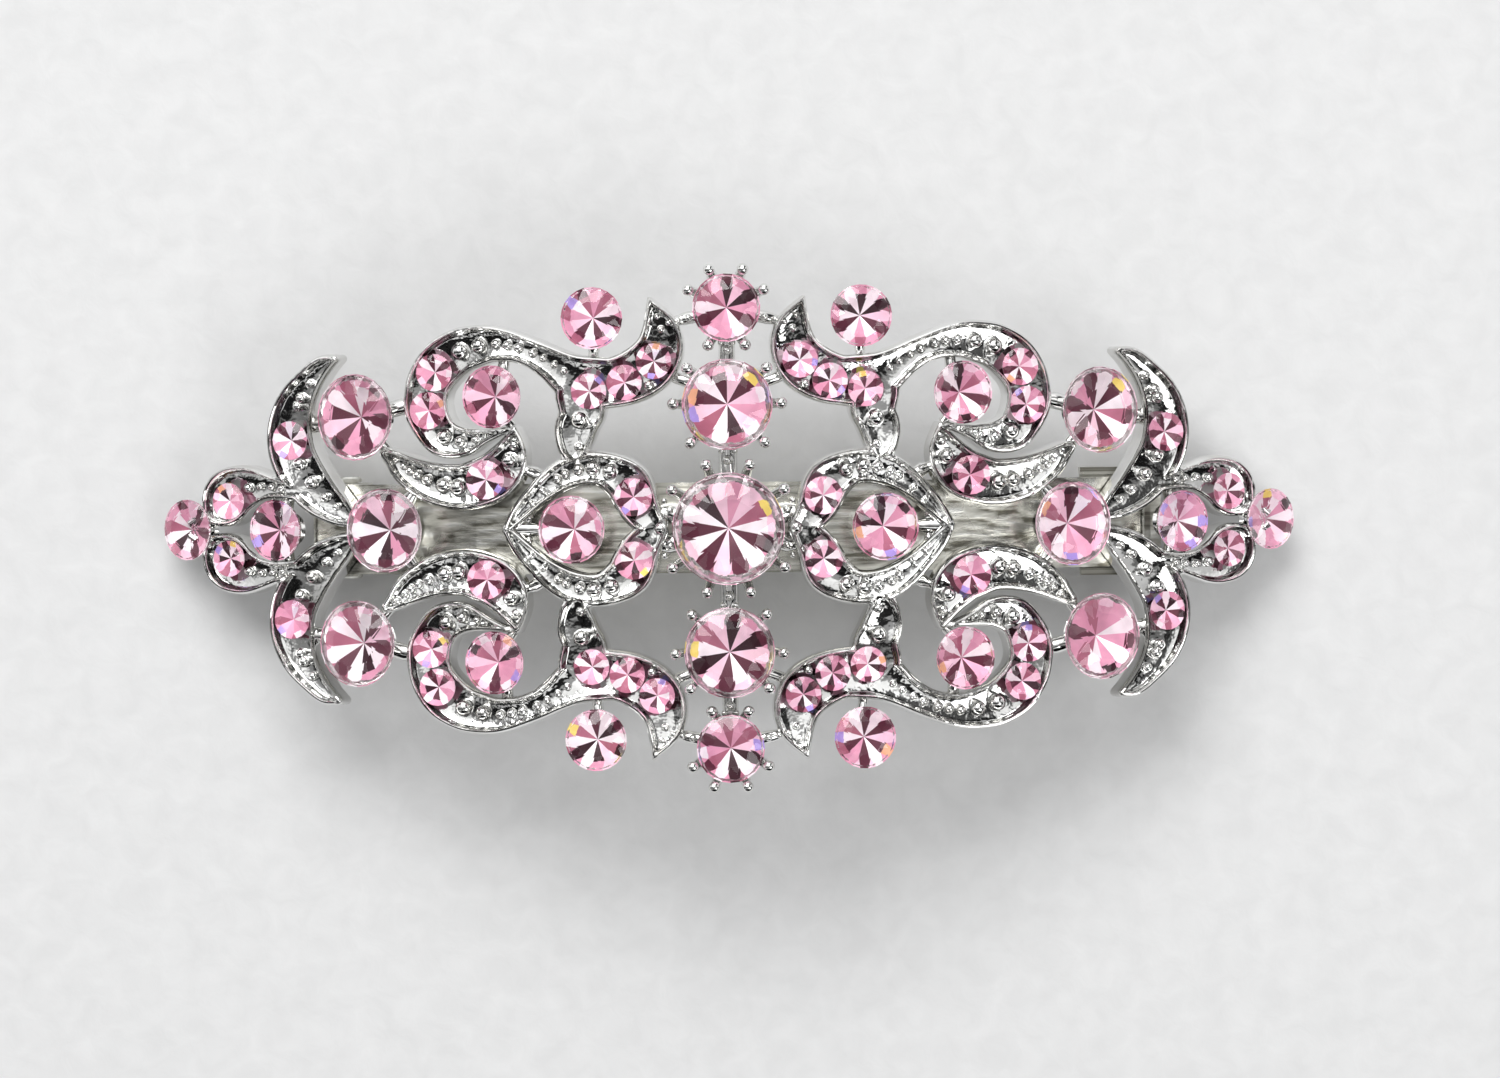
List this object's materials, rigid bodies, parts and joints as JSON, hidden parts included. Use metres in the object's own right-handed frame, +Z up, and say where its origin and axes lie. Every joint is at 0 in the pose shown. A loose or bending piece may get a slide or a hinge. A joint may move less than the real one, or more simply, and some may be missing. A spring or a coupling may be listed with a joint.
{
  "type": "rhinestone hair clip",
  "caption": "Arched openwork hair clip: cast scrollwork set with faceted stones, on a French clip with a hinged clasp arm, a bow spring and squeeze tabs.",
  "frame": {"origin": "centre of the bounding box at its base, on the surface that the clip's feet rest on", "axes": "+X along the clip from the hinge to the squeeze latch, +Y across it, +Z up out of the stones"},
  "size_m": [0.0978, 0.044, 0.0203],
  "materials": {
    "casting_metal": "mirror-bright white plating over a die casting",
    "clip_steel": "bright plated spring steel with a lengthwise grain",
    "stone_glass": "faceted pink glass with a foiled back"
  },
  "bodies": {
    "clip": {"ornament_casting": "casting_metal", "clip_plate": "clip_steel", "bow_spring": "clip_steel", "hinge_pin": "clip_steel", "latch_pin_back": "clip_steel", "latch_pin_front": "clip_steel", "mount_peg_left": "clip_steel", "mount_peg_right": "clip_steel", "stone_centre": "stone_glass", "stone_column_inner_bottom": "stone_glass", "stone_column_inner_top": "stone_glass", "stone_column_outer_bottom": "stone_glass", "stone_column_outer_top": "stone_glass", "stone_crescent_small_left_bottom": "stone_glass", "stone_crescent_small_left_top": "stone_glass", "stone_crescent_small_right_bottom": "stone_glass", "stone_crescent_small_right_top": "stone_glass", "stone_end_left": "stone_glass", "stone_end_right": "stone_glass", "stone_lower_crescent_left_bottom": "stone_glass", "stone_lower_crescent_left_top": "stone_glass", "stone_lower_crescent_right_bottom": "stone_glass", "stone_lower_crescent_right_top": "stone_glass", "stone_medallion_left": "stone_glass", "stone_medallion_right": "stone_glass", "stone_medallion_small_left_bottom": "stone_glass", "stone_medallion_small_left_top": "stone_glass", "stone_medallion_small_right_bottom": "stone_glass", "stone_medallion_small_right_top": "stone_glass", "stone_petal_small_left_bottom": "stone_glass", "stone_petal_small_left_top": "stone_glass", "stone_petal_small_right_bottom": "stone_glass", "stone_petal_small_right_top": "stone_glass", "stone_scroll_crest_left_bottom": "stone_glass", "stone_scroll_crest_left_top": "stone_glass", "stone_scroll_crest_right_bottom": "stone_glass", "stone_scroll_crest_right_top": "stone_glass", "stone_shoulder_left_bottom": "stone_glass", "stone_shoulder_left_top": "stone_glass", "stone_shoulder_right_bottom": "stone_glass", "stone_shoulder_right_top": "stone_glass", "stone_spiral_left_bottom": "stone_glass", "stone_spiral_left_top": "stone_glass", "stone_spiral_right_bottom": "stone_glass", "stone_spiral_right_top": "stone_glass", "stone_tip_left": "stone_glass", "stone_tip_right": "stone_glass", "stone_trefoil_left": "stone_glass", "stone_trefoil_right": "stone_glass", "stones_scroll_row_left_bottom": "stone_glass", "stones_scroll_row_left_top": "stone_glass", "stones_scroll_row_right_bottom": "stone_glass", "stones_scroll_row_right_top": "stone_glass", "stones_spiral_row_left_bottom": "stone_glass", "stones_spiral_row_left_top": "stone_glass", "stones_spiral_row_right_bottom": "stone_glass", "stones_spiral_row_right_top": "stone_glass"},
    "arm": {"clasp_arm": "clip_steel"},
    "tab_back": {"latch_tab_back": "clip_steel"},
    "tab_front": {"latch_tab_front": "clip_steel"}
  },
  "joints": [
    {"name": "clasp_hinge", "type": "hinge", "parent": "clip", "child": "arm", "pos_m": [-0.0325, 0, 0.00195], "axis": [0, 1, 0], "range_deg": [0, 80]},
    {"name": "tab_back_squeeze", "type": "hinge", "parent": "clip", "child": "tab_back", "pos_m": [0.0318, 0.0015, 0.00594], "axis": [-1, 0, 0], "range_deg": [0, 7], "stiffness_Nm_per_rad": 0.02},
    {"name": "tab_front_squeeze", "type": "hinge", "parent": "clip", "child": "tab_front", "pos_m": [0.0318, -0.0015, 0.00594], "axis": [1, 0, 0], "range_deg": [0, 7], "stiffness_Nm_per_rad": 0.02}
  ],
  "couplings": [
    {"joint": "tab_front_squeeze", "follows": "tab_back_squeeze", "ratio": 1}
  ]
}
